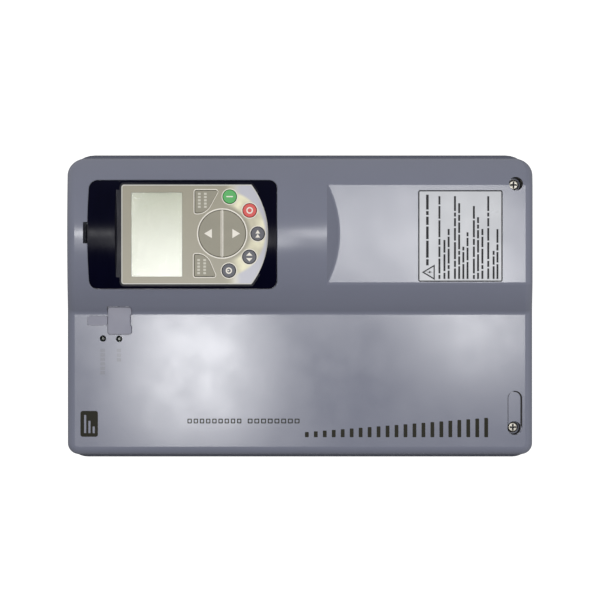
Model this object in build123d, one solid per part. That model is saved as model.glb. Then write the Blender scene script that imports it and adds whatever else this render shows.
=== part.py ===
from build123d import *
import os
from math import atan2, degrees, sqrt, tan

# A wall-mounted variable frequency drive, in millimetres.
# +Z is up, +X is to the right seen from the front, and the front faces -Y.
# The origin is the centre of the four mounting holes, on the wall plane Y = 0.

os.makedirs("parts", exist_ok=True)

# ---- Driving dimensions ----
BODY_WIDTH = 190.0
BODY_HEIGHT = 293.0
CREST_Y = -227.0            # front of the arched part of the cover
FLAT_Y = -206.0             # front of the flat part of the cover
COVER_REAR_Y = -165.0       # where the cover meets the housing
HOUSING_REAR_Y = -75.0      # where the housing meets the air duct
BOLT_SPACING_X = 150.0
BOLT_SPACING_Z = 300.0
BOLT_HOLE_RADIUS = 3.0

# Front cover
COVER_WALL = 3.0
CORNER_RIGHT = 16.0         # rounding of the upright corners on the arch's side
CORNER_LEFT = 11.5
COVER_DRAFT = 8.0           # degrees that its sides lean inwards
COVER_SKIRT = 3.0           # straight part of its sides, at the rear
COVER_EDGE = 5.0            # rounding of its front edges
POCKET_BEVEL = 1.5          # width of the bevels along the pocket's floor
POCKET_HOLLOW = 1.5         # rounding at the foot of its slope
BAY_BEVEL = 0.45            # bevel round the opening of the keypad's bay
ARCH_X = 43.5               # centre line of the arch
ARCH_RADIUS = 64.0
ARCH_FOOT = 3.0             # hollow rounding between the arch and the flat part
FACET_Y = -219.6            # flat pocket that is cut across the arch
FACET_TOP_Z = -16.0         # where the pocket's sloped upper end leaves the arch

# Keypad and the bay that holds it
KEYPAD_X = (10.6, 75.3)
KEYPAD_Z = (14.1, 125.8)
KEYPAD_CORNER = 5.0
KEYPAD_BACK_Y = -208.0
KEYPAD_SPLIT_Y = -210.0     # where its two shells meet
KEYPAD_WALL = 2.3
BAY_GAP = 0.4
BAY_WALL = 2.6
LABEL_Y = -222.0            # flat face that carries the overlay
OVERLAY_THICKNESS = 0.4
OVERLAY_X = (13.2, 72.6)
OVERLAY_TOP_Z = 106.5
OVERLAY_SIDE_END_Z = 29.0
OVERLAY_BOTTOM_Z = 19.0
WINDOW_X = (17.7, 68.0)
WINDOW_Z = (70.2, 100.6)
KEYPAD_BOARD_Y = (-217.0, -215.4)
KEY_FRONT_Y = -223.0
KEY_REAR_Y = -217.7
KEY_GAP = 0.3
ROUND_KEY_RADIUS = 4.05
ROUND_KEYS = {
    "key_start": (65.4, 41.9),
    "key_stop": (57.2, 30.0),
    "key_jog": (43.3, 25.2),
    "key_direction": (29.5, 30.2),
    "key_local_remote": (21.3, 42.4),
}
ARROW_X = 43.4
ARROW_Z = 46.4
ARROW_RADIUS = 14.0
ARROW_GAP = 0.8
SOFT_KEYS = {
    "key_soft_right": ((69.1, 62.6), (69.1, 48.5), (55.7, 55.8), (55.7, 62.6)),
    "key_soft_left": ((17.8, 63.0), (17.8, 50.0), (31.0, 55.6), (31.0, 63.0)),
}
SOFT_KEY_CORNER = 0.8
SOFT_KEY_INNER_CORNER = 8.0     # the corner next to the arrow pad
LATCH_X = (38.4, 49.1)
LATCH_Y = (-219.6, -212.0)
LATCH_Z = (118.0, 127.9)
LATCH_TRAVEL = 1.5

# Service port, lamps and screws of the cover
CAP_X = (-17.1, -0.5)
CAP_Z = (102.3, 116.8)
CAP_Y = (-206.6, -204.6)
CAP_NOTCH_X = (-11.8, -5.3)     # shallow finger notch in the cap's lower edge
CAP_NOTCH_DEPTH = 0.8
STRAP_X = (-11.5, -5.9)
STRAP_Z = (117.0, 128.9)
USB_X = -8.8
USB_Z = 109.5
LAMPS = ((-19.6, 119.7), (-19.8, 109.9))
LAMP_HOLE_RADIUS = 1.95
LAMP_ROD_RADIUS = 0.85
SCREW_HOLE_RADIUS = 4.15
SCREW_HEAD_RADIUS = 3.15
SCREW_RIGHT = (73.5, -129.3)
SCREW_RIGHT_SEAT_Y = -206.2
SCREW_LEFT = (-74.0, -130.2)
SCREW_LEFT_SEAT_Y = -197.4
SCREW_TIP_Y = -148.0
CHANNEL = (-64.8, -130.6)       # pill-shaped groove beside the left screw
CHANNEL_SIZE = (26.8, 8.9)
CHANNEL_ISLAND = (-64.8, -130.25)
CHANNEL_ISLAND_SIZE = (25.4, 7.3)

# Housing, duct and heatsink
HOUSING_WIDTH = 187.0
HOUSING_HEIGHT = 287.0
HOUSING_WALL = 3.0
DUCT_HALF_X = 88.0
DUCT_HALF_Z = 130.0
DUCT_SHEET = 1.5
DUCT_REAR_Y = -3.5
SINK_HALF_X = 86.0
SINK_Z = (-104.0, 129.0)
SINK_BASE = 8.0
FIN_COUNT = 23
FIN_PITCH = 7.0
FIN_THICKNESS = 2.0
FIN_END_Y = -7.0

# Cable entries in the lower end: each is (X, radius of the hole in the sheet)
CABLE_ENTRIES = ((-48, 12.5), (-14, 12.5), (20, 12.5), (52, 9.0))
CABLE_Y = -122.0
CABLE_PLATE_Z = (-146.0, -143.5)

# Fans
FAN_SIZE = 60.0
FAN_HEIGHT = 25.0
FAN_X = 32.0
FAN_Y = -37.0
FAN_BORE_RADIUS = 28.2
FAN_HOLE_OFFSET = 25.0
FAN_BLADES = 7
TRAY_Z = -132.5
TRAY_SHEET = 1.5
TRAY_HALF_X = 66.0
FAN_LOW_Z = TRAY_Z + TRAY_SHEET + 0.1
FAN_SHAFT_RADIUS = 1.5

# Circuit boards
BOARD_THICKNESS = 1.6
POWER_BOARD_Y = -98.0
POWER_BOARD_X = 84.0
POWER_BOARD_Z = (-120.0, 64.0)
CONTROL_BOARD_Y = -183.6
CONTROL_BOARD_X = 78.0
CONTROL_BOARD_Z = (-60.0, 132.0)
POWER_STANDOFFS = ((-79, -89), (79, -89), (-79, 58), (79, 58), (22, 58))

# Components that stand on the power board or beside it
CAPACITOR_XS = (-62, -29, 4)
CAPACITOR_ZS = (10, 44)
CAPACITOR_RADIUS = 15.0
CAPACITOR_HEIGHT = 46.0
CHOKE_Y = (-87.0, -119.0)
TRANSFORMER_Y = (-106.0, -122.0)
TERMINAL_PITCH = 13.0
TERMINAL_COUNT = 10
TERMINAL_XS = [-71.5 + index * TERMINAL_PITCH for index in range(TERMINAL_COUNT)]
TERMINAL_Z = (-118.0, -95.0)
TERMINAL_SCREW_Z = -105.0
TERMINAL_HEIGHT = 25.0
EARTH_XS = (-30, -10, 10, 30)
EARTH_Z = -131.0


# ---- Small helpers ----
def front_plane(y):
    """A plane facing the front, on which a sketch's x and y are X and Z."""
    return Plane(origin=(0, y, 0), x_dir=(1, 0, 0), z_dir=(0, -1, 0))


def raised(sketch, rear_y, front_y):
    """A sketch in X and Z, thickened from rear_y forwards to front_y."""
    return extrude(front_plane(rear_y) * sketch, rear_y - front_y)


def block(x, y, z):
    """A box between the two values that each axis is given."""
    centre = [(low + high) / 2 for low, high in (x, y, z)]
    size = [abs(high - low) for low, high in (x, y, z)]
    return Pos(*centre) * Box(*size)


def rectangle(x, z, corner=0.0):
    """A rectangle sketch between two X and two Z values."""
    centre = Pos((x[0] + x[1]) / 2, (z[0] + z[1]) / 2)
    if corner:
        return centre * RectangleRounded(x[1] - x[0], z[1] - z[0], corner)
    return centre * Rectangle(x[1] - x[0], z[1] - z[0])


def disc(x, z, radius):
    return Pos(x, z) * Circle(radius)


def post(x, z, radius, rear_y, front_y):
    """A round bar along Y."""
    return raised(disc(x, z, radius), rear_y, front_y)


def upright(x, y, radius, low_z, high_z):
    """A round bar along Z."""
    return Pos(x, y, (low_z + high_z) / 2) * Cylinder(radius, high_z - low_z)


def group(shapes):
    """Separate solids that share one node."""
    return Compound([solid for shape in shapes for solid in shape.solids()])


def screw(place, facing, head_radius, head_height, shank_radius, length):
    """A cross-head screw whose head is seated at place and faces the given way."""
    head = Pos(0, 0, head_height / 2) * Cylinder(head_radius, head_height)
    top = head.edges().group_by(Axis.Z)[-1]
    head = fillet(top, head_height * 0.4)
    shank = Pos(0, 0, -length / 2) * Cylinder(shank_radius, length)
    slot_length = head_radius * 1.3
    slot_width = head_radius * 0.34
    depth = head_height * 0.6
    cross = Box(slot_length, slot_width, depth) + Box(slot_width, slot_length, depth)
    body = head + shank - Pos(0, 0, head_height - depth / 2 + 0.01) * cross
    return Plane(origin=place, z_dir=facing).location * body


def save(node, shape):
    export_step(shape, f"parts/{node}.step")


# ---- Front cover ----
def arch_section(inset):
    """The cover's cross-section seen from above: a flat part that rises into an arch."""
    radius = ARCH_RADIUS - inset
    flat = FLAT_Y + inset
    foot = ARCH_FOOT + inset
    arch_y = CREST_Y + ARCH_RADIUS
    foot_y = flat - foot
    foot_x = ARCH_X - sqrt((radius + foot) ** 2 - (arch_y - foot_y) ** 2)
    touch = degrees(atan2(foot_y - arch_y, foot_x - ARCH_X))
    arch_end = -30.0
    hollow = CenterArc((foot_x, foot_y), foot, 90, touch + 90)
    arch = CenterArc((ARCH_X, arch_y), radius, touch, arch_end - touch)
    rear = COVER_REAR_Y + 2
    side = BODY_WIDTH
    right_side = ((side, (arch @ 1).Y), (side, rear))
    left_side = ((-side, rear), (-side, flat))
    rest = Polyline(arch @ 1, *right_side, *left_side, hollow @ 0)
    return make_face(Curve() + [hollow, arch, rest])


def cover_outline(inset):
    """The cover seen from the front: its corners are larger on the arch's side."""
    outline = Rectangle(BODY_WIDTH - 2 * inset, BODY_HEIGHT - 2 * inset)
    outline = fillet(outline.vertices().group_by(Axis.X)[0], CORNER_LEFT - inset)
    return fillet(outline.vertices().group_by(Axis.X)[-1], CORNER_RIGHT - inset)


def cover_form(inset):
    """The cover's outer form as a solid, or its hollow when inset by the wall."""
    outline = cover_outline(inset)
    taper_y = COVER_REAR_Y - COVER_SKIRT
    rear_y = COVER_REAR_Y + (1.0 if inset else 0.0)
    skirt = raised(outline, rear_y, taper_y)
    reach = taper_y - CREST_Y + 4
    sides = extrude(front_plane(taper_y) * outline, reach, taper=COVER_DRAFT)
    section = extrude(Plane.XY.offset(-BODY_HEIGHT) * arch_section(inset), 2 * BODY_HEIGHT)
    form = (skirt + sides) & section
    return form - facet_cut(inset)


def facet_cut(inset):
    """The flat pocket across the lower arch: bevelled sides, and a 45 degree slope at its top."""
    top_z = FACET_TOP_Z + inset * (sqrt(2) - 1)
    floor_y = FACET_Y + inset
    front_y = CREST_Y - 20
    radius = ARCH_RADIUS - inset
    depth = CREST_Y + ARCH_RADIUS - floor_y
    half_width = sqrt(radius ** 2 - depth ** 2)
    bevel_angle = atan2(half_width, depth) / 2
    flat_x = half_width - POCKET_BEVEL / 2
    outer_x = half_width + 4 * POCKET_BEVEL
    outer_y = floor_y + (outer_x - flat_x) * tan(bevel_angle)
    right = [(ARCH_X + flat_x, floor_y), (ARCH_X + outer_x, outer_y), (ARCH_X + outer_x, front_y)]
    left = [(2 * ARCH_X - x, y) for x, y in reversed(right)]
    profile = make_face(Polyline(*right, *left, close=True))
    front = extrude(Plane.XY.offset(-BODY_HEIGHT) * profile, BODY_HEIGHT + top_z)
    section = Plane.XY.offset(top_z) * arch_section(inset)
    reach = 2 * (FACET_Y - CREST_Y)
    slope = Solid.extrude(section.face(), Vector(0, reach, -reach))
    return front - slope


def front_rim(form):
    """The edges round the front of the cover, between its face and its sides."""
    rim = []
    for edge in form.edges():
        middle = edge.position_at(0.5)
        at_side = abs(middle.X) > BODY_WIDTH / 2 - 12
        at_end = abs(middle.Z) > BODY_HEIGHT / 2 - 12
        if middle.Y < -195 and (at_side or at_end) and edge.length > 1:
            if not (at_end and abs(edge.tangent_at(0.5).Y) > 0.9):
                rim.append(edge)
    return rim


def slope_foot(form):
    """The curved edge where the pocket's slope meets its floor."""
    foot_z = FACET_TOP_Z - (FACET_Y - CREST_Y)
    feet = []
    for edge in form.edges():
        middle = edge.position_at(0.5)
        on_floor = abs(middle.Y - FACET_Y) < 0.5
        if on_floor and abs(middle.Z - foot_z) < 1 and edge.length > ARCH_RADIUS / 2:
            feet.append(edge)
    return feet


def screw_tube(place, seat_y, form):
    """A tube inside the cover that carries one captive screw."""
    tube = post(*place, SCREW_HOLE_RADIUS + 2.2, COVER_REAR_Y - 3, CREST_Y) & form
    bore = post(*place, SCREW_HOLE_RADIUS, seat_y, CREST_Y - 1)
    shank_hole = post(*place, 2.5, COVER_REAR_Y, CREST_Y)
    return tube, bore + shank_hole


def bay_rim(cover, bay_plan):
    """The edges where the keypad's bay opens onto the arch."""
    outline = bay_plan.wire()
    rim = []
    for edge in cover.edges():
        middle = edge.position_at(0.5)
        arch_y = CREST_Y + ARCH_RADIUS - sqrt(max(ARCH_RADIUS ** 2 - (middle.X - ARCH_X) ** 2, 0))
        on_outline = outline.distance_to(Vector(middle.X, middle.Z, 0)) < 0.05
        if on_outline and abs(middle.Y - arch_y) < 0.05:
            rim.append(edge)
    return rim


def front_cover():
    form = cover_form(0)
    form = fillet(front_rim(form), COVER_EDGE)
    form = fillet(slope_foot(form), POCKET_HOLLOW)
    cover = form - cover_form(COVER_WALL)

    bay_x = (KEYPAD_X[0] - BAY_GAP, KEYPAD_X[1] + BAY_GAP)
    bay_z = (KEYPAD_Z[0] - BAY_GAP, KEYPAD_Z[1] + BAY_GAP)
    bay_plan = rectangle(bay_x, bay_z, KEYPAD_CORNER)
    bay_floor_y = KEYPAD_BACK_Y + BAY_GAP
    bay_rear_y = bay_floor_y + BAY_WALL
    cover += raised(offset(bay_plan, BAY_WALL), bay_rear_y, CREST_Y) & form
    cover -= raised(bay_plan, bay_floor_y, CREST_Y - 1)
    plug_window = rectangle((ARCH_X - 17, ARCH_X + 17), (62, 78), 2)
    cover -= raised(plug_window, bay_rear_y + 1, bay_floor_y - 1)
    notch_x = (LATCH_X[0] - 1, LATCH_X[1] + 1)
    notch_z = (KEYPAD_Z[1], KEYPAD_Z[1] + 3.0)
    notch_wall = rectangle((notch_x[0] - 2, notch_x[1] + 2), (bay_z[1] + 1, notch_z[1] + 2))
    cover += raised(notch_wall, LATCH_Y[1] + 2, CREST_Y) & form
    cover -= block(notch_x, (LATCH_Y[1] + 0.5, CREST_Y - 1), notch_z)

    pad_x = (CAP_X[0] - 3, CAP_X[1] + 3)
    pad_z = (CAP_Z[0] - 3, CAP_Z[1] + 3)
    pocket_rear_y = CAP_Y[1] + 0.2
    cover += raised(rectangle(pad_x, pad_z, 3), pocket_rear_y + 2.4, FLAT_Y)
    pocket_x = (CAP_X[0] - 0.3, CAP_X[1] + 0.3)
    pocket_top_z = CAP_Z[1] + 0.2
    pocket = rectangle(pocket_x, (CAP_Z[0] - 0.3, pocket_top_z), 2)
    pocket += rectangle((pocket_x[1] - 4, pocket_x[1]), (pocket_top_z - 4, pocket_top_z))
    cover -= raised(pocket, pocket_rear_y, CREST_Y)
    finger_notch = rectangle(CAP_NOTCH_X, (CAP_Z[0] - 1.4, CAP_Z[0] + 1), 0.6)
    cover -= raised(finger_notch, FLAT_Y + 0.8, CREST_Y)
    port = rectangle((USB_X - 6.6, USB_X + 6.6), (USB_Z - 6.1, USB_Z + 6.1), 0.5)
    cover -= raised(port, pocket_rear_y + 4, CREST_Y)
    groove_x = (STRAP_X[0] - 0.2, STRAP_X[1] + 0.2)
    strap_groove = rectangle(groove_x, (STRAP_Z[0] - 1, STRAP_Z[1] + 0.2), 0.9)
    cover -= raised(strap_groove, FLAT_Y + 1.1, CREST_Y)

    for lamp in LAMPS:
        cover -= post(*lamp, LAMP_HOLE_RADIUS, FLAT_Y + 5, FLAT_Y - 5)

    for place, seat_y in ((SCREW_RIGHT, SCREW_RIGHT_SEAT_Y), (SCREW_LEFT, SCREW_LEFT_SEAT_Y)):
        tube, hole = screw_tube(place, seat_y, form)
        cover = cover + tube - hole
    groove = Pos(*CHANNEL) * SlotOverall(*CHANNEL_SIZE)
    groove -= Pos(*CHANNEL_ISLAND) * SlotOverall(*CHANNEL_ISLAND_SIZE)
    cover -= raised(groove, FLAT_Y + 1.6, FLAT_Y - 5)
    return chamfer(bay_rim(cover, bay_plan), BAY_BEVEL)


# ---- Service port cap of the cover ----
def usb_cap():
    plan = rectangle(CAP_X, CAP_Z, 1.6)
    plan -= rectangle(CAP_NOTCH_X, (CAP_Z[0] - 3, CAP_Z[0] + CAP_NOTCH_DEPTH))
    cap = raised(plan, CAP_Y[1], CAP_Y[0])
    return chamfer(cap.faces().sort_by(Axis.Y)[0].edges(), 0.3)


def usb_cap_strap():
    plan = rectangle(STRAP_X, STRAP_Z, 1.2)
    return raised(plan, FLAT_Y + 1.0, FLAT_Y - 0.5)


# ---- Keypad ----
def keypad_plan(inset):
    plan_x = (KEYPAD_X[0] + inset, KEYPAD_X[1] - inset)
    plan_z = (KEYPAD_Z[0] + inset, KEYPAD_Z[1] - inset)
    return rectangle(plan_x, plan_z, KEYPAD_CORNER - inset)


def overlay_plan():
    """The overlay's outline: a straight top and sides, and a bulging lower end."""
    left, right = OVERLAY_X
    left_end = (left, OVERLAY_SIDE_END_Z)
    right_end = (right, OVERLAY_SIDE_END_Z)
    top = Polyline(left_end, (left, OVERLAY_TOP_Z), (right, OVERLAY_TOP_Z), right_end)
    bottom = ThreePointArc(right_end, ((left + right) / 2, OVERLAY_BOTTOM_Z), left_end)
    outline = make_face(Curve() + [top, bottom])
    top_corners = outline.vertices().sort_by(Axis.Y)[-2:]
    return fillet(top_corners, 1.6)


def round_key_plan(place):
    return disc(*place, ROUND_KEY_RADIUS)


def arrow_key_plan(side):
    """One half of the round arrow pad: side is 1 for the upper half, -1 for the lower."""
    middle_z = ARROW_Z + side * (ARROW_GAP / 2 + ARROW_RADIUS)
    half = Pos(ARROW_X, middle_z) * Rectangle(4 * ARROW_RADIUS, 2 * ARROW_RADIUS)
    return disc(ARROW_X, ARROW_Z, ARROW_RADIUS) & half


def soft_key_plan(corners):
    """A key with one slanted side, and a large round corner next to the arrow pad."""
    plan = make_face(Polyline(*corners, close=True))
    by_distance = plan.vertices().sort_by_distance((ARROW_X, ARROW_Z))
    plan = fillet(by_distance[0], SOFT_KEY_INNER_CORNER)
    by_distance = plan.vertices().sort_by_distance((ARROW_X, ARROW_Z))
    return fillet(by_distance[2:], SOFT_KEY_CORNER)


def key_plans():
    plans = {name: round_key_plan(place) for name, place in ROUND_KEYS.items()}
    plans["key_up"] = arrow_key_plan(1)
    plans["key_down"] = arrow_key_plan(-1)
    for name, corners in SOFT_KEYS.items():
        plans[name] = soft_key_plan(corners)
    return plans


def key_holes():
    holes = Sketch()
    for name, plan in key_plans().items():
        if name not in ("key_up", "key_down"):
            holes += offset(plan, KEY_GAP)
    return holes + disc(ARROW_X, ARROW_Z, ARROW_RADIUS + KEY_GAP)


def key(plan):
    body = raised(plan, KEY_REAR_Y, KEY_FRONT_Y)
    return chamfer(body.faces().sort_by(Axis.Y)[0].edges(), 0.25)


def arch_bar(inset):
    """A full round bar along Z whose surface is the cover's arch."""
    height = 2 * BODY_HEIGHT
    return Pos(ARCH_X, CREST_Y + ARCH_RADIUS, 0) * Cylinder(ARCH_RADIUS - inset, height)


def keypad_front_shell():
    shell = raised(keypad_plan(0), KEYPAD_SPLIT_Y, CREST_Y) & arch_bar(0.2)
    plateau = offset(overlay_plan(), 1.2)
    shell += raised(plateau, KEYPAD_SPLIT_Y, LABEL_Y)
    shell -= raised(offset(overlay_plan(), 0.3), LABEL_Y, CREST_Y - 1)
    shell -= raised(keypad_plan(KEYPAD_WALL), KEYPAD_SPLIT_Y, LABEL_Y + 2) & arch_bar(KEYPAD_WALL)
    groove_z = (OVERLAY_TOP_Z + 0.3, OVERLAY_TOP_Z + 3.4)
    shell -= block((OVERLAY_X[0] - 1, OVERLAY_X[1] + 1), (LABEL_Y + 0.8, CREST_Y - 1), groove_z)
    window = rectangle((WINDOW_X[0] - 0.4, WINDOW_X[1] + 0.4), (WINDOW_Z[0] - 0.4, WINDOW_Z[1] + 0.4))
    shell -= raised(window + key_holes(), KEYPAD_SPLIT_Y, CREST_Y)
    slot_x = (LATCH_X[0] - 0.3, LATCH_X[1] + 0.3)
    slot_y = (LATCH_Y[0] - 0.3, LATCH_Y[1] + 0.3)
    shell -= block(slot_x, slot_y, (KEYPAD_Z[1] - 6, KEYPAD_Z[1] + 2))
    return shell


def keypad_back_shell():
    shell = raised(keypad_plan(0), KEYPAD_BACK_Y, KEYPAD_SPLIT_Y)
    lip = keypad_plan(KEYPAD_WALL + 0.3) - keypad_plan(KEYPAD_WALL + 1.5)
    lip -= rectangle((LATCH_X[0] - 1, LATCH_X[1] + 1), (LATCH_Z[0], KEYPAD_Z[1]))
    shell += raised(lip, KEYPAD_SPLIT_Y, KEYPAD_SPLIT_Y - 1.8)
    shell -= raised(rectangle((ARCH_X - 15, ARCH_X + 15), (64.2, 75.8)), KEYPAD_BACK_Y, KEYPAD_SPLIT_Y - 1)
    return shell


def keypad_overlay():
    window = rectangle(WINDOW_X, WINDOW_Z, 0.6)
    sheet = overlay_plan() - window - key_holes()
    return raised(sheet, LABEL_Y, LABEL_Y - OVERLAY_THICKNESS)


def display_window():
    pane = rectangle((WINDOW_X[0] + 0.1, WINDOW_X[1] - 0.1), (WINDOW_Z[0] + 0.1, WINDOW_Z[1] - 0.1), 0.5)
    return raised(pane, LABEL_Y + 0.8, LABEL_Y - OVERLAY_THICKNESS)


def display_module():
    return raised(rectangle(WINDOW_X, WINDOW_Z), KEYPAD_BOARD_Y[0] - 0.05, LABEL_Y + 0.9)


def keypad_board():
    board_top_z = LATCH_Z[0] - LATCH_TRAVEL - 0.5
    plan = rectangle((15.5, 70.5), (20, board_top_z), 2)
    return raised(plan, KEYPAD_BOARD_Y[1], KEYPAD_BOARD_Y[0])


def keypad_plug():
    plan = rectangle((ARCH_X - 14.5, ARCH_X + 14.5), (64.7, 75.3), 1.5)
    return raised(plan, -193, KEYPAD_BOARD_Y[1] + 0.05)


def keypad_latch():
    tab = block(LATCH_X, LATCH_Y, LATCH_Z)
    return fillet(tab.edges().filter_by(Axis.X).group_by(Axis.Z)[-1], 0.8)


# ---- Housing ----
def main_housing():
    outline = RectangleRounded(HOUSING_WIDTH, HOUSING_HEIGHT, 11)
    inner = RectangleRounded(HOUSING_WIDTH - 2 * HOUSING_WALL, HOUSING_HEIGHT - 2 * HOUSING_WALL, 8)
    flange = RectangleRounded(BODY_WIDTH - 1, BODY_HEIGHT - 1, 12)
    front_y = COVER_REAR_Y + 0.5
    housing = raised(outline, HOUSING_REAR_Y, front_y)
    housing += raised(flange, HOUSING_REAR_Y, HOUSING_REAR_Y - 4)
    housing -= raised(inner, HOUSING_REAR_Y - HOUSING_WALL, front_y - 1)
    housing -= raised(rectangle((-84, 84), (-100, 127)), HOUSING_REAR_Y + 1, HOUSING_REAR_Y - 5)
    for place in (SCREW_RIGHT, SCREW_LEFT):
        housing += post(*place, 6, HOUSING_REAR_Y - HOUSING_WALL, front_y)
        housing -= post(*place, 2.4, SCREW_TIP_Y + 6, front_y - 1)
    cable_opening = block((-68, 68), (-148, -96), (-HOUSING_HEIGHT / 2 - 1, -HOUSING_HEIGHT / 2 + 4))
    housing -= cable_opening
    return housing - louvres()


def louvres():
    """Air slots through the housing's side walls and top."""
    slots = []
    for y in range(-152, -90, 8):
        for z in (-62, 2, 66):
            slots.append(Pos(0, y, z) * Box(2 * HOUSING_WIDTH, 3.6, 50))
        for x in (-54, 0, 54):
            slots.append(Pos(x, y, HOUSING_HEIGHT / 2) * Box(42, 3.6, 12))
    return group(slots)


def cable_plate():
    plate = block((-76, 76), (-154, -90), CABLE_PLATE_Z)
    for x, radius in CABLE_ENTRIES:
        plate -= upright(x, CABLE_Y, radius, -150, -140)
    return fillet(plate.edges().filter_by(Axis.Z).sort_by(SortBy.LENGTH)[:4], 3)


def cable_grommets():
    """Rubber rings that grip the plate's edge, each with a round hole for a cable."""
    rings = []
    low_z, high_z = CABLE_PLATE_Z
    for x, radius in CABLE_ENTRIES:
        ring = upright(x, CABLE_Y, radius - 0.1, low_z, high_z)
        ring += upright(x, CABLE_Y, radius + 2, low_z - 0.5, low_z - 0.01)
        ring += upright(x, CABLE_Y, radius + 2, high_z + 0.01, high_z + 3)
        ring += upright(x, CABLE_Y, radius - 0.2, low_z - 0.5, high_z + 3)
        rings.append(ring - upright(x, CABLE_Y, radius - 4, low_z - 2, high_z + 5))
    return group(rings)


# ---- Air duct and heatsink ----
def duct_shell():
    outer = block((-DUCT_HALF_X, DUCT_HALF_X), (HOUSING_REAR_Y, DUCT_REAR_Y), (-DUCT_HALF_Z, DUCT_HALF_Z))
    inner_x = DUCT_HALF_X - DUCT_SHEET
    inner_y = (HOUSING_REAR_Y - 1, DUCT_REAR_Y - DUCT_SHEET)
    inner = block((-inner_x, inner_x), inner_y, (-DUCT_HALF_Z - 1, DUCT_HALF_Z + 1))
    shell = outer - inner
    for x, y, z in bracket_screw_places():
        shell -= Pos(x, y, z) * Rot(0, 90, 0) * Cylinder(2.1, 12)
    return shell


def heatsink():
    """An extruded section: a base plate with straight fins towards the wall."""
    base_rear_y = HOUSING_REAR_Y + SINK_BASE
    section = Pos(0, (HOUSING_REAR_Y + base_rear_y) / 2) * Rectangle(2 * SINK_HALF_X, SINK_BASE)
    first = -(FIN_COUNT - 1) / 2 * FIN_PITCH
    fin_length = FIN_END_Y - base_rear_y
    for index in range(FIN_COUNT):
        x = first + index * FIN_PITCH
        section += Pos(x, base_rear_y + fin_length / 2) * Rectangle(FIN_THICKNESS, fin_length)
    sink = extrude(Plane.XY.offset(SINK_Z[0]) * section, SINK_Z[1] - SINK_Z[0])
    for x, z in POWER_STANDOFFS:
        sink -= post(x, z, 1.6, HOUSING_REAR_Y + 6, HOUSING_REAR_Y - 1)
    return sink


def bracket_screw_places():
    places = []
    for side in (-1, 1):
        for end in (-1, 1):
            for y in (-24, -12):
                places.append((side * DUCT_HALF_X, y, end * 112))
    return places


def mounting_brackets():
    """Four angle brackets: each has a leg on the duct's side and a foot on the wall."""
    brackets = []
    for side in (-1, 1):
        for end in (-1, 1):
            inner_x = side * (DUCT_HALF_X + 0.2)
            outer_x = side * (DUCT_HALF_X + 3.2)
            leg = block(sorted((inner_x, outer_x)), (-32, 0), sorted((end * 100, end * 150)))
            foot = block(sorted((side * 62, outer_x)), (-3, 0), sorted((end * 134, end * 160)))
            leg = fillet(leg.edges().filter_by(Axis.X).group_by(Axis.Y)[0], 8)
            hole = post(side * BOLT_SPACING_X / 2, end * BOLT_SPACING_Z / 2, BOLT_HOLE_RADIUS, 1, -4)
            bracket = leg + foot - hole
            for x, y, z in bracket_screw_places():
                bracket -= Pos(x, y, z) * Rot(0, 90, 0) * Cylinder(2.1, 12)
            brackets.append(bracket)
    return group(brackets)


def bracket_screws():
    screws = []
    for x, y, z in bracket_screw_places():
        side = 1 if x > 0 else -1
        seat = (x + side * 3.2, y, z)
        screws.append(screw(seat, (side, 0, 0), 3.6, 2.2, 1.95, 9))
    return group(screws)


# ---- Fan tray ----
def fan_tray():
    """A sheet tray that carries both fans, with finger guards stamped in it."""
    half = TRAY_HALF_X
    plate = block((-half, half), (-66.5, -6), (TRAY_Z, TRAY_Z + TRAY_SHEET))
    for x in (-FAN_X, FAN_X):
        opening = Pos(x, FAN_Y) * Circle(27)
        for ring_radius in (9, 16, 23):
            opening -= Pos(x, FAN_Y) * (Circle(ring_radius + 0.9) - Circle(ring_radius - 0.9))
        opening -= Pos(x, FAN_Y) * (Rectangle(60, 2.4) + Rectangle(2.4, 60) + Circle(4))
        plate -= extrude(Plane.XY.offset(TRAY_Z - 1) * opening, TRAY_SHEET + 2)
    for x, y in fan_screw_places():
        plate -= upright(x, y, 2.1, TRAY_Z - 1, TRAY_Z + TRAY_SHEET + 1)
    for side in (-1, 1):
        flange_x = sorted((side * half, side * (half - 1.2)))
        plate += block(flange_x, (-64, -9), (TRAY_Z, TRAY_Z + 22))
    return plate


def fan_screw_places():
    places = []
    for fan_x in (-FAN_X, FAN_X):
        for dx in (-FAN_HOLE_OFFSET, FAN_HOLE_OFFSET):
            for dy in (-FAN_HOLE_OFFSET, FAN_HOLE_OFFSET):
                places.append((fan_x + dx, FAN_Y + dy))
    return places


def fan_frame(x):
    """A square frame with a round duct, three struts, a motor seat and a fixed shaft."""
    body = RectangleRounded(FAN_SIZE, FAN_SIZE, 3) - Circle(FAN_BORE_RADIUS)
    body -= GridLocations(2 * FAN_HOLE_OFFSET, 2 * FAN_HOLE_OFFSET, 2, 2) * Circle(2.2)
    frame = extrude(body, FAN_HEIGHT)
    motor_seat = Circle(12)
    for angle in (30, 150, 270):
        motor_seat += Rot(0, 0, angle) * Pos(20, 0) * Rectangle(20, 4)
    frame += extrude(motor_seat, 3)
    frame += Pos(0, 0, 11) * Cylinder(FAN_SHAFT_RADIUS, 16)
    return Pos(x, FAN_Y, FAN_LOW_Z) * frame


def fan_frames():
    return group([fan_frame(-FAN_X), fan_frame(FAN_X)])


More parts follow.
